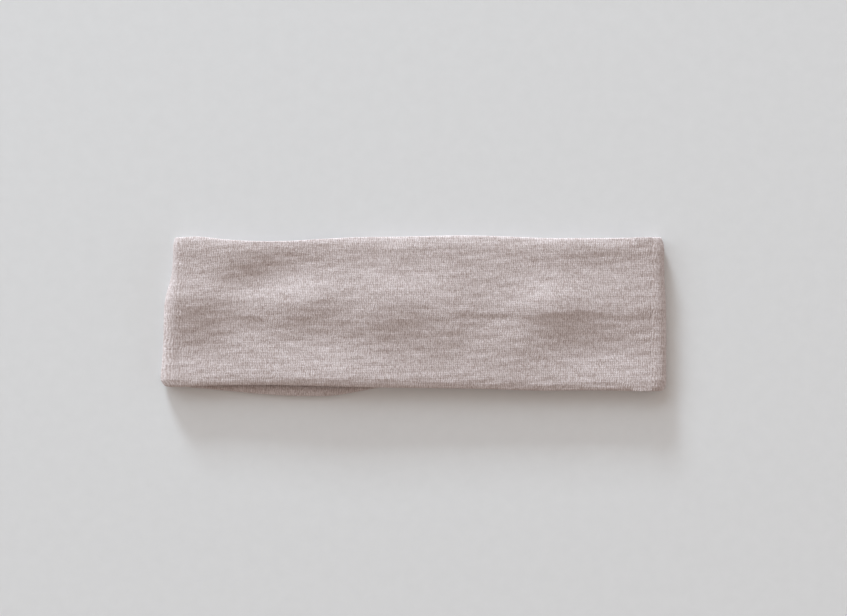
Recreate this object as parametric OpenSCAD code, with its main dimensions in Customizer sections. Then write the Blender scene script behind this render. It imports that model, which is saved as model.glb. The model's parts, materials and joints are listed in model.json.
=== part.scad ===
// Spa headband: a loop of double-layer cotton jersey, stored flat.
//
// One cut of jersey is folded into a flat tube with a long overlocked seam on its inner face.
// The two ends of the tube are overlocked together, which closes the loop. Lying flat, the loop
// is two legs, lower and upper, joined by a fold at each end.
//
// +X runs along the band, +Y across its width and +Z up. The origin is at the middle of the
// underside. Each leg is a row of panels that meet on hinge lines parallel to Y, in the plane
// between the legs, so that the loop opens from flat to a ring with its inner face at its length.

/* [Loop] */
// Length of one panel, along the band's inner face
panel_len = 24.6; // [22:0.1:28]
// Width of the band
band_w = 70; // [50:1:90]
// How far the lower leg shows past the upper leg's front edge
peek = 3.8; // [0:0.1:6]
// How far each end runs straight on past its fold line before it turns
nose_len = 3.6; // [0.4:0.1:6]

/* [Cloth] */
// Thickness of one layer of jersey
cloth_t = 0.75; // [0.6:0.05:0.9]
// Room between the two layers, which holds the long seam's allowance
hollow_h = 1.8; // [1.6:0.1:2.4]
// Slack between the two legs when they lie flat, each side of the hinge plane
leg_gap = 0.05; // [0.02:0.01:0.2]

/* [Seams] */
// Width of the long seam's allowance
allowance_w = 6; // [4:0.5:8]
// Width of the overlock stitch
overlock_w = 4.4; // [3:0.2:5]
// Thickness of a layer of overlock thread
thread_t = 0.12; // [0.08:0.01:0.14]
// Distance from the right fold line to the closing seam
closing_inset = 2; // [1.6:0.1:4]

/* [Hidden] */
$fn = 48;
panels = 9;                                 // in each leg; odd, so that one lies in the middle
peek_panel = 3;                             // the lower panel that shows the most
peek_reach = 62;                            // from there to where the lower leg is hidden again
leg_t = 2 * cloth_t + hollow_h;             // one leg, two layers and the room between them
hinge_z = leg_t + leg_gap;                  // height of the plane that holds every hinge line
fold_x = panels * panel_len / 2;            // the two fold hinges, left and right of the origin
band_y = peek / 2;                          // puts the origin midway between front and back
seam_x = fold_x - closing_inset;            // the closing seam, on the upper leg
seam_gap = 0.05;                            // each side of the closing seam's line
thread_gap = 0.04;                          // between a thread and the cloth next to it
flap_gap = 0.2;                             // room for thread, each side of an allowance
flap_t = hollow_h - 2 * flap_gap;           // the long seam's allowance, two layers pressed
groove_w = 0.3;                             // the long seam's line on the inner face
groove_h = 0.4;
pinch_t = 1.2;                              // the leg beside the closing seam, pressed thin
pinch_len = 7.2;
closing_flap_w = 6;                         // the closing seam's allowance, four layers pressed
closing_flap_t = leg_t - pinch_t - 2 * flap_gap;
edge_trim = 2;                              // an allowance or thread stops short of the long edges

jersey = [0.79, 0.73, 0.70];
jersey_inside = [0.73, 0.66, 0.63];
thread = [0.86, 0.81, 0.78];

LEGS = ["lower", "upper"];

// Left end and middle of panel k, and how far the lower leg lies in front of the upper one there
function panel_x(k) = (k - 1 - panels / 2) * panel_len;
function panel_mid(k) = panel_x(k) + panel_len / 2;
function shows(x) = abs(x - panel_mid(peek_panel)) < peek_reach
    ? peek * pow(cos(90 * (x - panel_mid(peek_panel)) / peek_reach), 2)
    : 0;
function leg_y(leg, k) = leg == "lower" ? band_y - shows(panel_mid(k)) : band_y;

// Runs a profile, drawn in Y and Z, along X
module run(x, length) {
    translate([x, 0, 0]) rotate([90, 0, 90]) linear_extrude(length) children();
}

// Puts a solid of one leg in place. It is drawn with the leg's outer face on z = 0 and its inner
// face, towards the other leg, at z = leg_t.
module on_leg(leg, y) {
    if (leg == "lower") translate([0, y, 0]) children();
    else translate([0, y, 2 * hinge_z]) mirror([0, 0, 1]) children();
}

// Flat shape with round ends, w by t, standing on z = 0
module flattened(w, t) {
    translate([-(w - t) / 2, 0]) square([w - t, t]);
    for (side = [-1, 1]) translate([side * (w - t) / 2, t / 2]) circle(d = t);
}

// Section of a leg: a flat tube of jersey, with its long seam's allowance in the hollow
module tube_section() {
    difference() {
        flattened(band_w, leg_t);
        translate([0, cloth_t]) flattened(band_w - 2 * cloth_t, hollow_h);
        translate([-groove_w / 2, leg_t - groove_h]) square([groove_w, groove_h + 1]);
    }
    translate([-cloth_t, cloth_t + flap_gap]) square([allowance_w + cloth_t, flap_t]);
    translate([-cloth_t, cloth_t + flap_gap]) square([cloth_t, hollow_h - flap_gap]);
}

module panel(leg, k) {
    color(jersey) on_leg(leg, leg_y(leg, k)) run(panel_x(k), panel_len) tube_section();
}

// The last upper panel ends at the closing seam, and is pressed thin beside it
module seamed_panel(k) {
    seam_end = seam_x - seam_gap;
    pinch_x = seam_end - pinch_len;
    color(jersey) on_leg("upper", band_y) {
        run(panel_x(k), pinch_x - panel_x(k)) tube_section();
        run(pinch_x, pinch_len) flattened(band_w, pinch_t);
    }
}

// Needle thread of the long seam: its line of stitches on both faces of the allowance
module needle_section() {
    line_w = 0.25;
    y = allowance_w - overlock_w - line_w;
    low = cloth_t + flap_gap - thread_gap - thread_t;
    high = cloth_t + flap_gap + flap_t + thread_gap;
    for (z = [low, high]) translate([y, z]) square([line_w, thread_t]);
}

// Looper threads of the long seam, wrapped from face to face round the allowance's raw edge
module looper_section() {
    y = allowance_w - overlock_w + thread_gap;
    wrap = thread_gap + thread_t;
    low = cloth_t + flap_gap - wrap;
    reach = overlock_w + thread_t;
    difference() {
        translate([y, low]) square([reach, flap_t + 2 * wrap]);
        translate([y - 1, low + thread_t])
            square([reach + 1 - thread_t, flap_t + 2 * thread_gap]);
    }
}

function run_end(leg, k) = leg == "upper" && k == panels
    ? seam_x - seam_gap - pinch_len
    : panel_x(k) + panel_len;

module needle_thread(leg, k) {
    color(thread) on_leg(leg, leg_y(leg, k))
        run(panel_x(k), run_end(leg, k) - panel_x(k)) needle_section();
}

module looper_threads(leg, k) {
    color(thread) on_leg(leg, leg_y(leg, k))
        run(panel_x(k), run_end(leg, k) - panel_x(k)) looper_section();
}

// The turn of the loop at one end: the tube runs on past the fold line, turns back and returns
module fold(side) {
    turn_x = side * (fold_x + nose_len);
    color(jersey) {
        for (leg = LEGS) on_leg(leg, band_y) run(min(turn_x, side * fold_x), nose_len) tube_section();
        translate([turn_x, band_y, hinge_z]) rotate([-90, 0, 0]) rotate([0, 0, side < 0 ? 90 : -90])
            rotate_extrude(angle = 180) translate([hinge_z, 0]) rotate(90) tube_section();
    }
}

// Right of the closing seam: the last strip of the upper leg, with the seam's allowance
module closing_edge() {
    start = seam_x + seam_gap;
    flap_w = band_w - 2 * edge_trim;
    color(jersey_inside) on_leg("upper", band_y) {
        run(start, fold_x - start) flattened(band_w, leg_t);
        translate([seam_x - closing_flap_w, -flap_w / 2, pinch_t + flap_gap])
            cube([closing_flap_w + start - seam_x + cloth_t, flap_w, closing_flap_t]);
    }
}

// Box of closing-seam thread, from x to x_end and from z up by h, in the upper leg
module closing_thread(x, x_end, z, h) {
    w = band_w - 2 * edge_trim;
    color(thread) on_leg("upper", band_y) translate([x, -w / 2, z]) cube([x_end - x, w, h]);
}

flap_edge = seam_x - closing_flap_w;        // raw edge of the closing seam's allowance
flap_low = pinch_t + flap_gap;
flap_high = flap_low + closing_flap_t;
flap_half = (flap_low + flap_high) / 2;     // where the two loopers meet, on the raw edge
stitch_x = flap_edge + overlock_w;          // the needle's line

module closing_needle_thread() {
    line_w = 0.25;
    for (z = [flap_low - thread_gap - thread_t, flap_high + thread_gap])
        closing_thread(stitch_x + thread_gap, stitch_x + thread_gap + line_w, z, thread_t);
}

module closing_upper_looper() {
    wrap_x = flap_edge - thread_gap - thread_t;
    low = flap_low - thread_gap - thread_t;
    union() {
        closing_thread(wrap_x, stitch_x, low, thread_t);
        closing_thread(wrap_x, wrap_x + thread_t, low, flap_half - thread_gap - low);
    }
}

module closing_lower_looper() {
    wrap_x = flap_edge - thread_gap - thread_t;
    high = flap_high + thread_gap;
    union() {
        closing_thread(wrap_x, stitch_x, high, thread_t);
        closing_thread(wrap_x, wrap_x + thread_t, flap_half + thread_gap,
            high + thread_t - flap_half - thread_gap);
    }
}

for (leg = LEGS, k = [1:panels]) {
    whole = leg == "lower" || k < panels;
    union() {
        if (whole) panel(leg, k);
        else seamed_panel(k);
    }
    needle_thread(leg, k);
    looper_threads(leg, k);
}
fold(-1);  // left_fold
fold(1);  // right_fold
closing_edge();
closing_needle_thread();
closing_upper_looper();
closing_lower_looper();
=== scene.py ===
import json
import math

import bpy
import numpy as np
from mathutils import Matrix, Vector


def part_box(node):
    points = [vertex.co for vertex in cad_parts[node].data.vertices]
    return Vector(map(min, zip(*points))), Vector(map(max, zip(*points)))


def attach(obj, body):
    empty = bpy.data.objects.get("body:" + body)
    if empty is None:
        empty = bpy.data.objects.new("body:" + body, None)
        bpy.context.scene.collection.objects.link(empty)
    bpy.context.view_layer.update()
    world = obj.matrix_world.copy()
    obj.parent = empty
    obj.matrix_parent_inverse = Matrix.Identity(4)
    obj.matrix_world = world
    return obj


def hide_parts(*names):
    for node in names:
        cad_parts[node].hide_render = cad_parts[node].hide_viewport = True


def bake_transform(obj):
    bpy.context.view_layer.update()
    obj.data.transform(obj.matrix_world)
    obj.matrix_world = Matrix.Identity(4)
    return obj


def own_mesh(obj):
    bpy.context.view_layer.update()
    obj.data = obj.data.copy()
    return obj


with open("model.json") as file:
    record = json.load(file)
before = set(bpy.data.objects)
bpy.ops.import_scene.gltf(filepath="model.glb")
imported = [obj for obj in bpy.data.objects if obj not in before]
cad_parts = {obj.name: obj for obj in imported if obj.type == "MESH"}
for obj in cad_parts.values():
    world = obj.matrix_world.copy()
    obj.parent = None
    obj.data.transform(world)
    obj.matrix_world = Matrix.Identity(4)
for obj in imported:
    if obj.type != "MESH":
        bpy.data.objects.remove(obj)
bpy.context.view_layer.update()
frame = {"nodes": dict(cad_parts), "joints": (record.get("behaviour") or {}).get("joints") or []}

# A loop headband of double-layer jersey, lying flat. The CAD frame holds its panels, hinges and
# threads. Here the jersey itself is made: one continuous surface round the whole loop, parted into
# pieces that lie across the hinges or ride on the CAD bodies. Lengths are in metres.

MM = 0.001

# Sizes from the frame
JOINTS = {joint["name"]: joint for joint in frame["joints"]}
HINGE_Z = JOINTS["left_fold_opens"]["pos_m"][2]
FOLD_X = JOINTS["right_fold_opens"]["pos_m"][0]
low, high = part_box("lower_panel_5")
PANEL = high.x - low.x
LEG_T = high.z - low.z
GAP = HINGE_Z - LEG_T       # from the hinge plane to a leg's inner face
low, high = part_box("upper_panel_5")
BAND_Y = (low.y + high.y) / 2
BAND_W = high.y - low.y
PANELS = 9                  # in each leg

# The closing seam, on the upper leg near the right end
FLAP = 6 * MM               # its allowance, inside the loop
SEAM_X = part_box("closing_edge")[0].x + FLAP
PINCH_T = 1.2 * MM          # the leg beside it, pressed thin
PINCH_RUN = 7.2 * MM
PINCH_EASE = 2 * MM         # over which the leg gets thin
PINCH_END = 0.3 * MM        # the leg is thick again this far short of the fold line
CLOSING_LINE = 0.05 * MM    # depth and half-width of the seam's line on the outer face
CLOSING_LINE_HALF = 0.3 * MM

# The knit: wales are the ribs that run across the band, courses the rows that run along it
WALES_PER_PANEL = 24
WALE = PANEL / WALES_PER_PANEL
COURSE = 0.8 * MM
STEPS_PER_WALE = 4
STATION = WALE / STEPS_PER_WALE
RIB_H = 0.13 * MM
RIB_MIDDLE = 0.6            # level of the even surface in a rib's wave, which runs from 0 to 1

# The tube's section
FRONT_ROUND = 4.4 * MM      # how far the rounding of each long edge reaches in from the edge
BACK_ROUND = 6.2 * MM
FACE_STEP = 1.0 * MM
EDGE_STEPS = [0.13, 0.26, 0.39, 0.51, 0.62, 0.72, 0.81, 0.89, 0.94, 0.975, 0.993]
NEAR_SEAM = [0, 0.003, 0.007, 0.012, 0.02]
GROOVE = 0.35 * MM          # depth and half-width of the long seam's line on the inner face
GROOVE_HALF = 0.4 * MM

# How the two legs lie on each other
PART_RUN = 6 * MM           # from the fold line to where the legs' edges are their own
LIFT = 0.8 * MM             # the inner faces part a little just inside the front edge
LIFT_IN = 1 * MM
LIFT_HALF = 2.4 * MM
LIFT_RUN = 8 * MM
CLEARANCE = 0.01 * MM       # lowest that the cloth reaches above the table's plane

# The turns at the ends
LEAN = math.radians(10)     # the legs' ends lean so that they meet when the loop is open
MITRE = math.tan(LEAN)
LEAN_RUN = 1.6 * MM         # over which a leg's stations come to lean
# A turn slopes down to a tip below the hinge line and sits squarer under it
TIP_DROP = 1.5 * MM
UPPER_POWER = 1.9
LOWER_POWER = 2.6
BISECTIONS = 30
HALF_TURN = 6 * WALE        # length of cloth in half a turn
TURN_STATIONS = 25
STUB_STATIONS = 13          # from the right fold line to the closing seam

UV_PER_M = 10               # the knit map's units, each 100 mm
MM_PER_UV = 100


# ---------------------------------------------------------------- shape of the band as it lies

def bump(x, centre, width):
    """Smooth bump of height 1 and half-width about width."""
    return np.exp(-((x - centre) / width) ** 2)


def rise(x, start, end):
    """0 before start, 1 after end and smooth between them."""
    t = np.clip((x - start) / (end - start), 0, 1)
    return t * t * (3 - 2 * t)


def slope(x, middle, length):
    """1 well before the middle and 0 well after it."""
    return 1 / (1 + np.exp((x - middle) / length))


def wander(x, bumps):
    """Sum of bumps (height, middle x, half-length), all in mm."""
    return sum(height * bump(x, middle, length) for height, middle, length in bumps)


# Where the edges leave a straight line. +Y is outwards for the back edge, inwards for the others.
BACK_WANDER = [(0.9, -102, 9), (-1.5, -69, 24), (1.2, 20, 30),
               (-0.2, 62, 12), (0.4, 112, 14), (0.4, -25, 16)]
FRONT_WANDER = [(0.5, -62, 24), (-0.5, 55, 16), (-1.1, -114, 14)]
FRONT_OFFSET = 0.2
FRONT_SKEW = -0.0135
LOWER_WANDER = [(0.9, 20, 32), (-2.6, 98, 24)]
LOWER_OFFSET = 1.3
# The lower leg shows most at SHOWS_X, and less to the left and to the right of it
SHOWS, SHOWS_X, SHOWS_LEFT, SHOWS_RIGHT, SHOWS_POWER = 5.2, -47, 50.0, 26.0, 2.3
LEAST_STEP = 0.5 * MM       # the lower leg's back edge stays this far inside the upper one's


def back_edge(x):
    """Y of the upper leg's back edge at x."""
    return BAND_Y + BAND_W / 2 + wander(x / MM, BACK_WANDER) * MM


def front_edge(x):
    """Y of the upper leg's front edge at x."""
    x = x / MM
    return BAND_Y - BAND_W / 2 + (FRONT_OFFSET + FRONT_SKEW * x + wander(x, FRONT_WANDER)) * MM


def lower_front_edge(x):
    """Y of the lower leg's front edge, which shows past the upper leg's left of the middle."""
    x = x / MM
    length = np.where(x < SHOWS_X, SHOWS_LEFT, SHOWS_RIGHT)
    shows = SHOWS * np.exp(-(np.abs(x - SHOWS_X) / length) ** SHOWS_POWER)
    return BAND_Y - BAND_W / 2 + (LOWER_OFFSET - shows + wander(x, LOWER_WANDER)) * MM


def edges(x, lower):
    """Front and back edge of a station at x, where lower is its share of the lower leg."""
    front, back = front_edge(x), back_edge(x)
    low_front = lower_front_edge(x)
    low_back = np.minimum(low_front + BAND_W, back - LEAST_STEP)
    apart = lower * rise(FOLD_X - np.abs(x), 0, PART_RUN)
    return front + (low_front - front) * apart, back + (low_back - back) * apart


# Relief of the upper leg's outer face, in mm: middle x, y, height, half-length, half-width and
# the angle of its length from X, in degrees
RELIEF = [
    (-70, 18, -1.9, 24, 8, 12),
    (-101, 9, 1.6, 17, 9, 0),
    (-78, -2, -1.1, 12, 14, 60),
    (-48, 8, 0.9, 18, 7, 15),
    (-47, -11, -1.0, 25, 9, 0),
    (-104, -16, -1.5, 18, 11, 0),
    (-4, 5, 2.3, 25, 12, 10),
    (-12, 13, 0.9, 12, 8, 0),
    (13, -6, 1.0, 12, 10, 60),
    (62, 5, 2.1, 17, 11, 12),
    (88, 24, -0.7, 19, 9, 0),
    (86, -16, -1.5, 23, 11, 0),
    (46, -12, 0.7, 8, 13, 80),
    (-40, -30, 0.8, 32, 7, 0),
    (12, -29, 0.25, 26, 6, 0),
    (118, 4, -1.0, 9, 34, 0),
    (78, 33, 0.5, 20, 8, 0),
    (-58, 30, -0.7, 16, 8, 0),
    (-8, 30, 0.7, 10, 8, 90),
]
SEAM_STEP = 0.35            # the long seam's allowance shows through as a low step, in mm
# The cloth can't sink below what lies inside it: the other face and, higher, the long seam's
# threads. All in mm.
DEEPEST = -1.9
OVER_THREADS = 1.3
SOFTNESS = 0.18             # how gently it comes to rest on them


def relief(x, y):
    """Height of the upper leg's outer face above its even thickness, at x, y."""
    x, y = x / MM, y / MM
    h = np.zeros(np.broadcast(x, y).shape)
    for cx, cy, height, length, width, angle in RELIEF:
        c, s = math.cos(math.radians(angle)), math.sin(math.radians(angle))
        dx, dy = x - cx, y - cy
        h += height * np.exp(-((dx * c + dy * s) / length) ** 2 - ((dy * c - dx * s) / width) ** 2)
    h += SEAM_STEP * rise(x, 5, 30) * (rise(y, -0.6, 2.2) - rise(y, 2.2, 16))
    lowest = DEEPEST + OVER_THREADS * rise(y, -3.5, 0.5) * (1 - rise(y, 8.5, 12.5))
    return (lowest + SOFTNESS * np.logaddexp(0, (h - lowest) / SOFTNESS)) * MM


def ripples(u, y):
    """Fine unevenness of knitted cloth that has been worn and washed, in rows along the band."""
    u, y = u / MM, y / MM
    h = 0.08 * np.sin(y * 1.1 + 1.5 * np.sin(u * 0.09)) * np.sin(u * 0.21 + 2.0 * np.sin(y * 0.13))
    h += 0.07 * np.sin(y * 2.3 + 2.1 * np.sin(u * 0.05 + 1.0)) * np.sin(u * 0.13 + y * 0.4)
    return h * MM


def nose(y, side):
    """How far the turn of an end reaches past its fold line, at y. It is longer at the front."""
    y = y / MM
    if side < 0:
        reach = 3.5 + 4.5 * slope(y, 14, 3.5) + 1.8 * slope(y, -22, 5)
    else:
        reach = 5.0 + 0.9 * slope(y, 12, 3)
    return reach * MM


# ---------------------------------------------------------------- the surface

def edge_height(c):
    """Height of a face over the tube's middle at c of the way through an edge's rounding: it
    falls away gently, then turns over sharply."""
    return (1 - 0.55 * c ** 2) * (1 - c ** 24) ** 0.4


def section():
    """The tube's section as rows (f, c, s): f places a point across the flat faces from -1 at the
    front to 1 at the back, c is its share of the edge's rounding and s is -1 on the inner face
    and 1 on the outer one. It starts and ends at the long seam, in the inner face's middle."""
    flat = int(round((BAND_W - FRONT_ROUND - BACK_ROUND) / 2 / FACE_STEP))
    out = NEAR_SEAM + list(np.linspace(0.03, 1, flat))
    half = [(c, edge_height(c)) for c in EDGE_STEPS]
    turn = [(c, -h) for c, h in half] + [(1, 0)] + [(c, h) for c, h in reversed(half)]
    rows = [(f, 0, -1) for f in out]
    rows += [(1, c, s) for c, s in turn]
    rows += [(f, 0, 1) for f in np.linspace(1, -1, 2 * flat + 1)]
    rows += [(-1, -c, s) for c, s in reversed(turn)]
    rows += [(-f, 0, -1) for f in reversed(out)]
    return np.array(rows)


SECTION = section()
RING = len(SECTION) - 1      # the last point of a section is the first again


def across(front, back):
    """Y of the section's points between the front and back edge of each station."""
    f, c = SECTION[:, 0], SECTION[:, 1]
    low, high = front + FRONT_ROUND, back - BACK_ROUND
    rounding = np.where(c > 0, c * BACK_ROUND, c * FRONT_ROUND)
    return low[:, None] + (f + 1) / 2 * (high - low)[:, None] + rounding


def distance_round():
    """Distance round the even section of each of its points, from the long seam."""
    s = SECTION[:, 2]
    y = across(np.array([-BAND_W / 2]), np.array([BAND_W / 2]))[0]
    return np.concatenate([[0], np.cumsum(np.hypot(np.diff(y), np.diff(s) * LEG_T / 2))])


ROUND = distance_round()
SHEET_ROUND = ROUND[-1]      # the tube's width as it was cut, without its seam allowances


def knit_shift(u):
    """How far the ribs wander from straight lines, as [station, point]."""
    u, v = u[:, None] / MM, ROUND / MM
    shift = 0.34 * np.sin(v * 0.19 + 1.3 * np.sin(u * 0.083)) + 0.2 * np.sin(v * 0.47 + u * 0.31)
    shift += 0.14 * np.sin(v * 1.07 - u * 0.53) + 0.1 * np.sin(v * 1.9 + u * 0.9)
    return shift * MM


def turn_radius(ca, sa, total, reach):
    """Distance from the hinge line to the outer face of a turn, in the direction (ca, sa). The
    face is a superellipse about a point TIP_DROP below the hinge line."""
    near, far = np.zeros(total.shape), total + reach
    for _ in range(BISECTIONS):
        r = (near + far) / 2
        w = r * sa + TIP_DROP
        out = r * ca / reach
        up, down = np.maximum(w, 0) / (total + TIP_DROP), np.maximum(-w, 0) / (total - TIP_DROP)
        above = out ** UPPER_POWER + up ** UPPER_POWER
        below = out ** LOWER_POWER + down ** LOWER_POWER
        inside = np.where(w > 0, above, below) < 1
        near, far = np.where(inside, r, near), np.where(inside, far, r)
    return near


def groove(y):
    """The long seam's line, as depth at each point of the inner face."""
    on_inner_face = SECTION[:, 2] == -1
    return GROOVE * bump(y, y[:, :1], GROOVE_HALF) * on_inner_face


def leg_rows(x, upper, lean):
    """Points of one leg at stations x, as [station, point, xyz]. lean is how far each station
    leans along X as it goes outwards."""
    front, back = edges(x, 0.0 if upper else 1.0)
    y = across(front, back)
    s = SECTION[:, 2]
    thick = LEG_T + ripples(x[:, None], y) + (relief(x[:, None], y) if upper else 0)
    inner = np.zeros(len(x))
    if upper:
        start = SEAM_X - PINCH_RUN
        pinched = rise(x, start - PINCH_EASE, start) * (1 - rise(x, SEAM_X, FOLD_X - PINCH_END))
        inner = (LEG_T - PINCH_T) * pinched
    lift = LIFT * bump(y, front_edge(x)[:, None] + LIFT_IN, LIFT_HALF)
    inner = inner[:, None] + lift * rise(FOLD_X - np.abs(x), 0, LIFT_RUN)[:, None]
    closing_line = CLOSING_LINE * bump(x, SEAM_X, CLOSING_LINE_HALF)[:, None] * (s == 1) * upper
    n = GAP + inner + (thick - inner) * (1 + s) / 2 + groove(y) - closing_line
    # near a fold line the outer face meets the turn's
    reach = np.where(x[:, None] < 0, nose(y, -1), nose(y, 1))
    slant = np.arctan(np.abs(lean))[:, None]
    up = 1 if upper else -1
    radius = turn_radius(np.sin(slant), up * np.cos(slant), thick + GAP, reach)
    n = n * radius * np.cos(slant) / (thick + GAP)
    return np.stack([x[:, None] + lean[:, None] * n, y, HINGE_Z + up * n], -1)


def turn_rows(angle, side):
    """Points of the turn at one end, at angles about its hinge line: 90 degrees is straight up
    from it on the upper leg and -90 straight down on the lower one."""
    x = np.full(len(angle), side * FOLD_X)
    upness = np.sin(angle) / math.cos(LEAN)      # from -1 on the lower leg to 1 on the upper one
    front, back = edges(x, (1 - upness) / 2)
    y = across(front, back)
    s = SECTION[:, 2]
    thick = LEG_T + relief(x[:, None], y) * np.clip(upness, 0, 1)[:, None] + ripples(x[:, None], y)
    n = GAP + thick * (1 + s) / 2 + groove(y)
    ca, sa = np.cos(angle)[:, None], np.sin(angle)[:, None]
    r = n * turn_radius(ca, sa, thick + GAP, nose(y, side)) / (thick + GAP)
    return np.stack([side * (FOLD_X + r * ca), y, HINGE_Z + r * sa], -1)


def whole_loop():
    """The whole cloth as one grid of points, [station, point, xyz], from the closing seam round to
    the closing seam again, with u, the distance of each station along the loop, and the place of
    the first station of each stretch."""
    even = np.arange(-FOLD_X, SEAM_X - STATION, STATION)
    upper_x = np.concatenate([even, [SEAM_X]])[::-1]
    turn = np.linspace(math.pi / 2 - LEAN, 0, TURN_STATIONS)
    lower_x = np.linspace(-FOLD_X, FOLD_X, PANELS * WALES_PER_PANEL * STEPS_PER_WALE + 1)
    stub_x = np.linspace(FOLD_X, SEAM_X, STUB_STATIONS)

    def lean(x):
        return np.sign(x) * MITRE * rise(np.abs(x), FOLD_X - LEAN_RUN, FOLD_X)

    left_u = 2 * FOLD_X
    lower_u = left_u + 2 * HALF_TURN
    right_u = lower_u + 2 * FOLD_X
    stub_u = right_u + 2 * HALF_TURN
    quarter = np.linspace(0, HALF_TURN, TURN_STATIONS)
    stretches = {
        "upper": (leg_rows(upper_x, True, lean(upper_x) * (upper_x < 0)), FOLD_X - upper_x),
        "upper_left": (turn_rows(turn, -1), left_u + quarter),
        "lower_left": (turn_rows(-turn[::-1], -1), left_u + HALF_TURN + quarter),
        "lower": (leg_rows(lower_x, False, lean(lower_x)), lower_u + FOLD_X + lower_x),
        "lower_right": (turn_rows(-turn, 1), right_u + quarter),
        "upper_right": (turn_rows(turn[::-1], 1), right_u + HALF_TURN + quarter),
        "stub": (leg_rows(stub_x, True, lean(stub_x)), stub_u + FOLD_X - stub_x),
    }
    rows, u, first = [], [], {}
    count = 0
    for name, (points, distance) in stretches.items():
        first[name] = count
        # the last row of a stretch is the first of the next
        rows.append(points[:-1])
        u.append(distance[:-1])
        count += len(points) - 1
    rows.append(points[-1:])
    u.append(distance[-1:])
    first["end"] = count
    return np.concatenate(rows), np.concatenate(u), first


def normals_of(p):
    """Normals of a grid of points, pointing out of the tube."""
    lengthways = np.gradient(p, axis=0)
    closed = np.concatenate([p[:, -2:-1], p, p[:, 1:2]], axis=1)
    n = np.cross(lengthways, closed[:, 2:] - closed[:, :-2])
    return n / np.maximum(np.linalg.norm(n, axis=-1, keepdims=True), 1e-12)


def ribbed(p, u, shift):
    """The grid with the ribs of the knit raised on it."""
    phase = math.pi * (u[:, None] + shift) / WALE
    return p + normals_of(p) * (RIB_H * (np.abs(np.cos(phase)) - RIB_MIDDLE))[:, :, None]


def add_object(name, data):
    obj = bpy.data.objects.new(name, data)
    bpy.context.scene.collection.objects.link(obj)
    return obj


def grid_mesh(name, p, n, uv, material):
    """A tube-like mesh from a grid of points, its normals and its knit map in metres."""
    rows = len(p)
    index = np.arange(rows * RING).reshape(rows, RING)
    nxt = np.roll(index, -1, axis=1)
    quads = np.stack([index[:-1], index[1:], nxt[1:], nxt[:-1]], -1).reshape(-1, 4)
    mesh = bpy.data.meshes.new(name)
    mesh.vertices.add(rows * RING)
    mesh.vertices.foreach_set("co", p[:, :RING].reshape(-1).astype(np.float32))
    mesh.loops.add(len(quads) * 4)
    mesh.loops.foreach_set("vertex_index", quads.reshape(-1).astype(np.int32))
    mesh.polygons.add(len(quads))
    mesh.polygons.foreach_set("loop_start", np.arange(0, len(quads) * 4, 4, dtype=np.int32))
    mesh.update(calc_edges=True)
    corner = np.stack([uv[:-1, :-1], uv[1:, :-1], uv[1:, 1:], uv[:-1, 1:]], 2)
    layer = mesh.uv_layers.new(name="knit")
    layer.data.foreach_set("uv", (corner * UV_PER_M).reshape(-1).astype(np.float32))
    mesh.polygons.foreach_set("use_smooth", np.ones(len(quads), bool))
    mesh.normals_split_custom_set_from_vertices(n[:, :RING].reshape(-1, 3).tolist())
    mesh.materials.append(material)
    return add_object(name, mesh)


# ---------------------------------------------------------------- materials

DARK_YARN_AND_PAINTED_SHADE = (0.385, 0.298, 0.272)        # painted shade between the stitches, and the yarn's darker tone
LIGHT_YARN_AND_PAINTED_HIGHLIGHT = (0.695, 0.612, 0.598)       # painted highlight where the yarn stands proud, and the yarn's lighter tone
# the thread's colour: painted shade in the twist's grooves, painted highlight on its crests
THREAD_PAINTED_GROOVE_SHADE = (0.50, 0.42, 0.39)
THREAD_PAINTED_CREST_HIGHLIGHT = (0.72, 0.65, 0.62)
TABLE_DARK = (0.718, 0.711, 0.706)
TABLE_LIGHT = (0.768, 0.761, 0.756)


def new_material(name):
    material = bpy.data.materials.new(name)
    material.use_nodes = True
    material.node_tree.nodes.clear()
    return material, material.node_tree


def link(tree, source, target):
    tree.links.new(source, target)


def value_node(tree, operation, a, b=None, c=None, clamp=False):
    """A Math node. Each input is a socket or a number."""
    node = tree.nodes.new("ShaderNodeMath")
    node.operation = operation
    node.use_clamp = clamp
    for socket, given in zip(node.inputs, (a, b, c)):
        if given is None:
            continue
        if isinstance(given, (int, float)):
            socket.default_value = given
        else:
            link(tree, given, socket)
    return node.outputs[0]


def noise(tree, vector, scale, detail=2.0, roughness=0.5):
    node = tree.nodes.new("ShaderNodeTexNoise")
    node.noise_dimensions = "3D"
    link(tree, vector, node.inputs["Vector"])
    node.inputs["Scale"].default_value = scale
    node.inputs["Detail"].default_value = detail
    node.inputs["Roughness"].default_value = roughness
    return node.outputs["Fac"]


def stretched(tree, vector, scale):
    node = tree.nodes.new("ShaderNodeVectorMath")
    node.operation = "MULTIPLY"
    link(tree, vector, node.inputs[0])
    node.inputs[1].default_value = scale
    return node.outputs[0]


def mix_colour(tree, factor, a, b):
    """Colour between a and b, which are tuples, by a socket's value."""
    node = tree.nodes.new("ShaderNodeMix")
    node.data_type = "RGBA"
    link(tree, factor, node.inputs["Factor"])
    node.inputs["A"].default_value = (*a, 1)
    node.inputs["B"].default_value = (*b, 1)
    return node.outputs["Result"]


def cell_random(tree, wale, course):
    """A random value for each stitch, from its wale and its course."""
    place = tree.nodes.new("ShaderNodeCombineXYZ")
    link(tree, value_node(tree, "FLOOR", wale), place.inputs["X"])
    link(tree, value_node(tree, "FLOOR", course), place.inputs["Y"])
    node = tree.nodes.new("ShaderNodeTexWhiteNoise")
    node.noise_dimensions = "2D"
    link(tree, place.outputs[0], node.inputs["Vector"])
    return node.outputs["Value"]


def weighted(tree, levels, **weights):
    """Weighted sum of named levels (socket, its middle value), each about its middle value."""
    total = 0.0
    for name, weight in weights.items():
        socket, middle = levels[name]
        centred = value_node(tree, "SUBTRACT", socket, middle)
        total = value_node(tree, "MULTIPLY_ADD", centred, weight, total)
    return total


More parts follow.
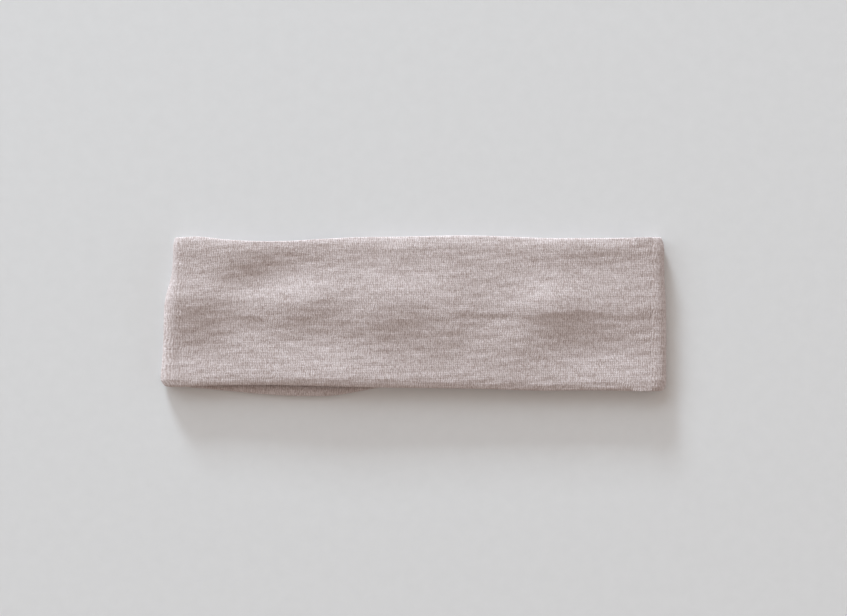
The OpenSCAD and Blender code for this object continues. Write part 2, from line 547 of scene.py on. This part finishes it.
def finish_surface(tree, base, height, strength, distance, inputs):
    """Surface of a material: its colour, the bump of its height, and other inputs by name."""
    bump_node = tree.nodes.new("ShaderNodeBump")
    bump_node.inputs["Strength"].default_value = strength
    bump_node.inputs["Distance"].default_value = distance
    link(tree, height, bump_node.inputs["Height"])
    bsdf = tree.nodes.new("ShaderNodeBsdfPrincipled")
    for name, value in inputs.items():
        bsdf.inputs[name].default_value = value
    link(tree, base, bsdf.inputs["Base Color"])
    link(tree, bump_node.outputs["Normal"], bsdf.inputs["Normal"])
    output = tree.nodes.new("ShaderNodeOutputMaterial")
    link(tree, bsdf.outputs[0], output.inputs[0])


def jersey_material():
    """Cotton jersey: V-shaped stitches in ribs, yarn of uneven thickness and tone, soft nap, with
    painted shade in the knit's hollows and a painted highlight on its raised yarn.
    """
    material, tree = new_material("jersey")
    uv = tree.nodes.new("ShaderNodeUVMap")
    uv.uv_map = "knit"
    place = stretched(tree, uv.outputs["UV"], (MM_PER_UV, MM_PER_UV, MM_PER_UV))     # in mm
    split = tree.nodes.new("ShaderNodeSeparateXYZ")
    link(tree, place, split.inputs[0])
    u, v = split.outputs["X"], split.outputs["Y"]

    # wale and course count the ribs and rows. slant counts rows along the legs of the stitches'
    # V shapes, which slope down on both sides of a rib.
    wobble = noise(tree, place, 0.35)
    wale = value_node(tree, "ADD", value_node(tree, "DIVIDE", u, WALE / MM), 0.5)
    from_middle = value_node(tree, "SUBTRACT", value_node(tree, "FRACT", wale), 0.5)
    off_rib = value_node(tree, "ABSOLUTE", from_middle)
    course = value_node(tree, "DIVIDE", v, COURSE / MM)
    course = value_node(tree, "MULTIPLY_ADD", wobble, 0.8, course)
    slant = value_node(tree, "MULTIPLY_ADD", off_rib, 1.1, course)
    wave = value_node(tree, "SINE", value_node(tree, "MULTIPLY", slant, math.pi))
    half_wale = value_node(tree, "MULTIPLY", wale, 2.0)
    long_course = value_node(tree, "MULTIPLY", slant, 0.6)

    levels = {
        # name: socket, its middle value
        "stitch": (value_node(tree, "ABSOLUTE", wave), 0.6),
        "off_rib": (off_rib, 0.25),
        "each": (cell_random(tree, wale, slant), 0.5),
        "half": (cell_random(tree, half_wale, long_course), 0.5),
        "fibres": (noise(tree, stretched(tree, place, (2.4, 1.0, 1)), 1.0, 3, 0.65), 0.5),
        "streaks": (noise(tree, stretched(tree, place, (0.10, 1.15, 1)), 1.0, 2, 0.6), 0.5),
        "heather": (noise(tree, place, 0.8, 4, 0.7), 0.5),
        "patches": (noise(tree, place, 0.06), 0.5),
    }
    height = weighted(tree, levels, stitch=0.5, off_rib=-1.0, fibres=1.9, streaks=0.25, half=0.35)
    # The colour follows the knit's height as well as the yarn's own uneven tone: painted shade in
    # the hollows off the ribs and between the stitches, painted highlight on the raised yarn
    shade = weighted(tree, levels, stitch=0.25, off_rib=-1.0, each=0.32, half=0.45, fibres=2.0,
                     heather=0.5, streaks=0.25, patches=0.3)
    shade = value_node(tree, "ADD", shade, 0.55, clamp=True)
    base = mix_colour(tree, shade, DARK_YARN_AND_PAINTED_SHADE, LIGHT_YARN_AND_PAINTED_HIGHLIGHT)
    finish_surface(tree, base, height, 0.8, 0.13 * MM, {
        "Roughness": 0.95, "Specular IOR Level": 0.12, "Sheen Weight": 0.05,
        "Sheen Roughness": 0.6, "Sheen Tint": (0.95, 0.9, 0.9, 1)})
    return material


def thread_material():
    """Spun polyester sewing thread: a fine twist and a slight gloss, with painted shade in the
    twist's grooves and a painted highlight on its crests.
    """
    material, tree = new_material("thread")
    place = tree.nodes.new("ShaderNodeTexCoord").outputs["Object"]
    wave = tree.nodes.new("ShaderNodeTexWave")
    wave.wave_type = "BANDS"
    wave.bands_direction = "DIAGONAL"
    link(tree, place, wave.inputs["Vector"])
    wave.inputs["Scale"].default_value = 900
    wave.inputs["Distortion"].default_value = 1.5
    twist = wave.outputs["Fac"]
    # the colour follows the twist's height: painted shade in its grooves, painted highlight on its
    # crests
    base = mix_colour(tree, twist, THREAD_PAINTED_GROOVE_SHADE, THREAD_PAINTED_CREST_HIGHLIGHT)
    finish_surface(tree, base, twist, 0.5, 0.05 * MM, {"Roughness": 0.55})
    return material


def table_material():
    """A plain pale table top with a fine matt grain."""
    material, tree = new_material("table")
    place = tree.nodes.new("ShaderNodeTexCoord").outputs["Object"]
    grain = noise(tree, place, 160, 4, 0.6)
    base = mix_colour(tree, grain, TABLE_DARK, TABLE_LIGHT)
    finish_surface(tree, base, grain, 0.15, 0.2 * MM,
                   {"Roughness": 0.7, "Specular IOR Level": 0.2})
    return material


# ---------------------------------------------------------------- camera, table and light

CAMERA_AT = Vector((3.0, 4.3, 553)) * MM
LENS = 50                   # in mm, as is the sensor's width
SENSOR = 36
NEAREST = 0.01              # where the camera's view begins
TABLE_HALF = 3.0
LIGHTS = {
    # name: bearing from +Y towards -X, elevation (degrees), distance, width, height (m), watts
    "low_window": (18, 10, 6.6, 1.4, 0.72, 512),
    "sky": (34, 26, 6.0, 8.0, 3.0, 215),
    "side": (78, 20, 6.0, 4.0, 1.6, 48),
    "bounce": (-92, 16, 6.0, 6.0, 2.0, 64),
}
LIGHT_COLOUR = (0.895, 1.035, 1.145)
ROOM_COLOUR = (1.12, 0.96, 0.855)
ROOM_STRENGTH = 0.383


def make_camera():
    """A camera straight above the band, looking down."""
    data = bpy.data.cameras.new("camera")
    data.lens = LENS
    data.sensor_width = SENSOR
    data.clip_start = NEAREST
    camera = add_object("camera", data)
    camera.location = CAMERA_AT
    bpy.context.scene.camera = camera


def make_table():
    mesh = bpy.data.meshes.new("table")
    s = TABLE_HALF
    mesh.from_pydata([(-s, -s, 0), (s, -s, 0), (s, s, 0), (-s, s, 0)], [], [(0, 1, 2, 3)])
    mesh.materials.append(table_material())
    add_object("table", mesh)


def make_lights():
    for name, (bearing, elevation, distance, width, height, watts) in LIGHTS.items():
        bearing, elevation = math.radians(bearing), math.radians(elevation)
        flat = math.cos(elevation)
        way = Vector((-math.sin(bearing) * flat, math.cos(bearing) * flat, math.sin(elevation)))
        data = bpy.data.lights.new(name, "AREA")
        data.shape = "RECTANGLE"
        data.size, data.size_y = width, height
        data.energy = watts
        data.color = LIGHT_COLOUR
        light = add_object(name, data)
        light.location = way * distance
        light.rotation_mode = "QUATERNION"
        light.rotation_quaternion = (-way).to_track_quat("-Z", "Y")
    world = bpy.data.worlds.new("room")
    world.use_nodes = True
    background = world.node_tree.nodes["Background"]
    background.inputs["Color"].default_value = (*ROOM_COLOUR, 1)
    background.inputs["Strength"].default_value = ROOM_STRENGTH
    bpy.context.scene.world = world
    bpy.context.scene.view_settings.view_transform = "Standard"


make_camera()
make_table()
make_lights()

jersey = jersey_material()
thread = thread_material()

# ---------------------------------------------------------------- cloth pieces

grid, along, first = whole_loop()
shift = knit_shift(along)
grid = ribbed(grid, along, shift)
grid[..., 2] = np.maximum(grid[..., 2], CLEARANCE)
normals = normals_of(grid)
knit_map = np.stack([along[:, None] + shift, np.broadcast_to(ROUND, shift.shape)], -1)

# Length of jersey in each piece along the band, as it was cut
TURN_OUTSIDE = 10 * MM      # a turn's outer layer, its longest
STUB_LENGTH = 14 * MM       # beyond the closing seam, with both faces of its allowance
STUB_AREA = 1.4e-3


def cut(name, start, end):
    """A piece of the cloth, from station start to station end."""
    rows = slice(start, end + 1)
    return grid_mesh(name, grid[rows], normals[rows], knit_map[rows], jersey)


def station_at(leg, x):
    """Number of the station at x on a leg."""
    steps = int(round((x + FOLD_X) / STATION))
    return first["lower"] + steps if leg == "lower" else first["upper_left"] - steps


def hinge_x(k):
    """Place of the hinge between panels k and k + 1."""
    return (k - PANELS / 2) * PANEL


def declare(piece, length, *nodes, area=None):
    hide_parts(*nodes)


# From the middle of each panel to the middle of the next, spanning the hinge between them
for leg in ("lower", "upper"):
    for k in range(1, PANELS):
        x = hinge_x(k)
        start, end = x - PANEL / 2, x + PANEL / 2
        if leg == "upper" and k == PANELS - 1:
            end = SEAM_X
            stations = first["upper"], station_at(leg, start)
        else:
            stations = sorted((station_at(leg, start), station_at(leg, end)))
        piece = cut(f"{leg}_cloth_{k}", *stations)
        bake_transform(piece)
        declare(piece, end - start, f"{leg}_panel_{k}", f"{leg}_panel_{k + 1}")

# From the first or last panel's middle to the fold line
half_panel = WALES_PER_PANEL * STEPS_PER_WALE // 2
ENDS = {
    # name: first station, last station, body
    "upper_left_cloth": (first["upper_left"] - half_panel, first["upper_left"], "upper_1"),
    "lower_left_cloth": (first["lower"], first["lower"] + half_panel, "lower_1"),
    "lower_right_cloth": (first["lower_right"] - half_panel, first["lower_right"], "lower_9"),
}
for name, (start, end, body) in ENDS.items():
    piece = cut(name, start, end)
    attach(piece, body)
    declare(piece, PANEL / 2)

# The half-turns, each riding on a body beside its fold
TURNS = {
    # name: next stretch, body, end of the band, mean length of cloth in mm
    "upper_left": ("lower_left", "upper_1", "left", 4.2),
    "lower_left": ("lower", "lower_1", "left", 4.9),
    "lower_right": ("upper_right", "lower_9", "right", 4.4),
    "upper_right": ("stub", "closing_end", "right", 3.7),
}
for name, (after, body, word, mean_length) in TURNS.items():
    piece = cut(f"{name}_turn", first[name], first[after])
    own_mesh(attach(piece, body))
    declare(piece, TURN_OUTSIDE, f"{word}_fold", area=SHEET_ROUND * mean_length * MM)

# ---------------------------------------------------------------- the closing seam

FLAP_LOW = GAP + 0.34 * MM  # distances of the allowance's faces from the hinge plane
FLAP_HIGH = LEG_T - PINCH_T - 0.3 * MM
FLAP_MIDDLE = (FLAP_LOW + FLAP_HIGH) / 2
FLAP_ROOT = SEAM_X + 0.3 * MM       # it runs on into the seam
FLAP_STATIONS = 121
FLAP_STEPS = 20
LAYERS = 4
LAYER_ANGLES = [-60, -25, 0, 25, 60]
RAW_X = SEAM_X - FLAP       # its raw edge
low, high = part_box("closing_needle_thread")
FLAP_HALF_Y = (high.y - low.y) / 2
NEEDLE_X = (low.x + high.x) / 2
LOOP_PITCH = 2.5            # of the overlock's loops, in mm
THREAD_R = 0.11 * MM


def flap_outline():
    """Section of the closing seam's allowance as (x, n), where n is the distance from the hinge
    plane: four layers pressed together, rounded at the raw edge, where the layers show."""
    layer = (FLAP_HIGH - FLAP_LOW) / LAYERS
    points = [(FLAP_ROOT, FLAP_LOW)]
    points += [(x, FLAP_LOW) for x in np.linspace(SEAM_X, RAW_X + layer, FLAP_STEPS)]
    for i in range(LAYERS):
        centre = FLAP_LOW + layer * (i + 0.5)
        for a in np.radians(LAYER_ANGLES):
            points.append((RAW_X + layer / 2 - layer / 2 * math.cos(a),
                           centre + layer / 2 * math.sin(a)))
    points += [(x, FLAP_HIGH) for x in np.linspace(RAW_X + layer, SEAM_X, FLAP_STEPS)]
    points += [(FLAP_ROOT, FLAP_HIGH)]
    return points


def make_flap():
    """The allowance: its section along Y, thinner at its ends, pinched by the overlock's loops,
    with a raw edge that wanders."""
    outline = flap_outline()
    around = len(outline)
    ys = BAND_Y + np.linspace(-1, 1, FLAP_STATIONS) * FLAP_HALF_Y
    verts, faces = [], []
    for i, y in enumerate(ys):
        from_end = min(i, FLAP_STATIONS - 1 - i)
        full = min(1.0, 0.55 + 0.25 * from_end)
        pinch = 1 + 0.04 * math.sin(y / MM * 2 * math.pi / LOOP_PITCH)
        stray = 0.12 * MM * math.sin(y / MM * 0.9) + 0.08 * MM * math.sin(y / MM * 2.3 + 1)
        for x, n in outline:
            rawness = np.clip((SEAM_X - x) / FLAP, 0, 1)
            height = FLAP_MIDDLE + (n - FLAP_MIDDLE) * full * pinch
            verts.append((x + stray * rawness, y, HINGE_Z + height))
    for i in range(FLAP_STATIONS - 1):
        for j in range(around):
            k = (j + 1) % around
            here, there = i * around, (i + 1) * around
            faces.append((here + j, here + k, there + k, there + j))
    faces.append(tuple(reversed(range(around))))
    faces.append(tuple(range((FLAP_STATIONS - 1) * around, FLAP_STATIONS * around)))
    mesh = bpy.data.meshes.new("flap")
    mesh.from_pydata(verts, [], faces)
    layer = mesh.uv_layers.new(name="knit")
    for loop in mesh.loops:
        x, y, z = mesh.vertices[loop.vertex_index].co
        layer.data[loop.index].uv = ((FOLD_X - x) * UV_PER_M, (y + z) * UV_PER_M)
    mesh.polygons.foreach_set("use_smooth", np.ones(len(faces), bool))
    mesh.materials.append(jersey)
    return add_object("flap", mesh)


def thread_curve(name, runs, node):
    """Sewing thread along runs of points (x, y, n), as round tubes, in place of a CAD node."""
    data = bpy.data.curves.new(name, "CURVE")
    data.dimensions = "3D"
    data.bevel_depth = THREAD_R
    data.bevel_resolution = 2
    data.use_fill_caps = True
    for run in runs:
        spline = data.splines.new("NURBS")
        spline.points.add(len(run) - 1)
        for point, (x, y, n) in zip(spline.points, run):
            point.co = (x, y, HINGE_Z + n, 1)
        spline.order_u = 3
        spline.use_endpoint_u = True
        spline.resolution_u = 4
    data.materials.append(thread)
    obj = add_object(name, data)
    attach(obj, "closing_end")
    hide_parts(node)


# The threads lie on the allowance's two faces, sunk in a little
low_n, high_n = FLAP_LOW - 0.8 * THREAD_R, FLAP_HIGH + 0.8 * THREAD_R
loops = int(2 * FLAP_HALF_Y / MM / LOOP_PITCH) - 1
first_y = BAND_Y - (loops - 1) / 2 * LOOP_PITCH * MM
loop_ys = [first_y + i * LOOP_PITCH * MM for i in range(loops)]

# Needle thread: one stitch to a loop on each face, its ends going down into the cloth
half = 0.44 * LOOP_PITCH * MM
needle_runs = []
for n in (low_n, high_n):
    sunk = n + (FLAP_MIDDLE - n) * 0.25
    for y in loop_ys:
        needle_runs.append([(NEEDLE_X, y - half, sunk), (NEEDLE_X, y - 0.6 * half, n),
                            (NEEDLE_X, y + 0.6 * half, n), (NEEDLE_X, y + half, sunk)])
thread_curve("closing_needle_stitches", needle_runs, "closing_needle_thread")

# Loopers: each runs from the raw edge to the needle's line and back, once to a loop
LOOPERS = {
    # name: height, which way its loops lean, CAD node
    "closing_upper_loops": (low_n, 1, "closing_upper_looper"),
    "closing_lower_loops": (high_n, -1, "closing_lower_looper"),
}
step = LOOP_PITCH * MM / 8
for name, (n, lean, node) in LOOPERS.items():
    edge_n = FLAP_MIDDLE + (n - FLAP_MIDDLE) * 0.5
    edge_x, over_x = RAW_X - 0.5 * THREAD_R, RAW_X + 0.3 * MM
    bend_x, needle_x = NEEDLE_X - 0.5 * MM, NEEDLE_X + 0.1 * MM
    run = []
    for y in loop_ys:
        run += [
            (edge_x, y - 3 * step, edge_n),
            (over_x, y - 2.6 * step, n),
            (bend_x, y - lean * step, n),
            (needle_x, y - lean * 0.5 * step, n),
            (needle_x, y + lean * 0.5 * step, n),
            (bend_x, y + lean * step, n),
            (over_x, y + 2.6 * step, n),
            (edge_x, y + 3 * step, edge_n),
        ]
    thread_curve(name, [run], node)

# The strip of the upper leg beyond the seam, with the allowance
stub = cut("upper_right_cloth", first["stub"], first["end"])
flap = make_flap()
with bpy.context.temp_override(active_object=stub, object=stub, selected_objects=[stub, flap],
                               selected_editable_objects=[stub, flap]):
    bpy.ops.object.join()
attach(stub, "closing_end")
declare(stub, STUB_LENGTH, "closing_edge", area=STUB_AREA)

# The long seam's threads are the CAD's own
for name, node in frame["nodes"].items():
    if "thread" in name or "looper" in name:
        node.data.materials.clear()
        node.data.materials.append(thread)
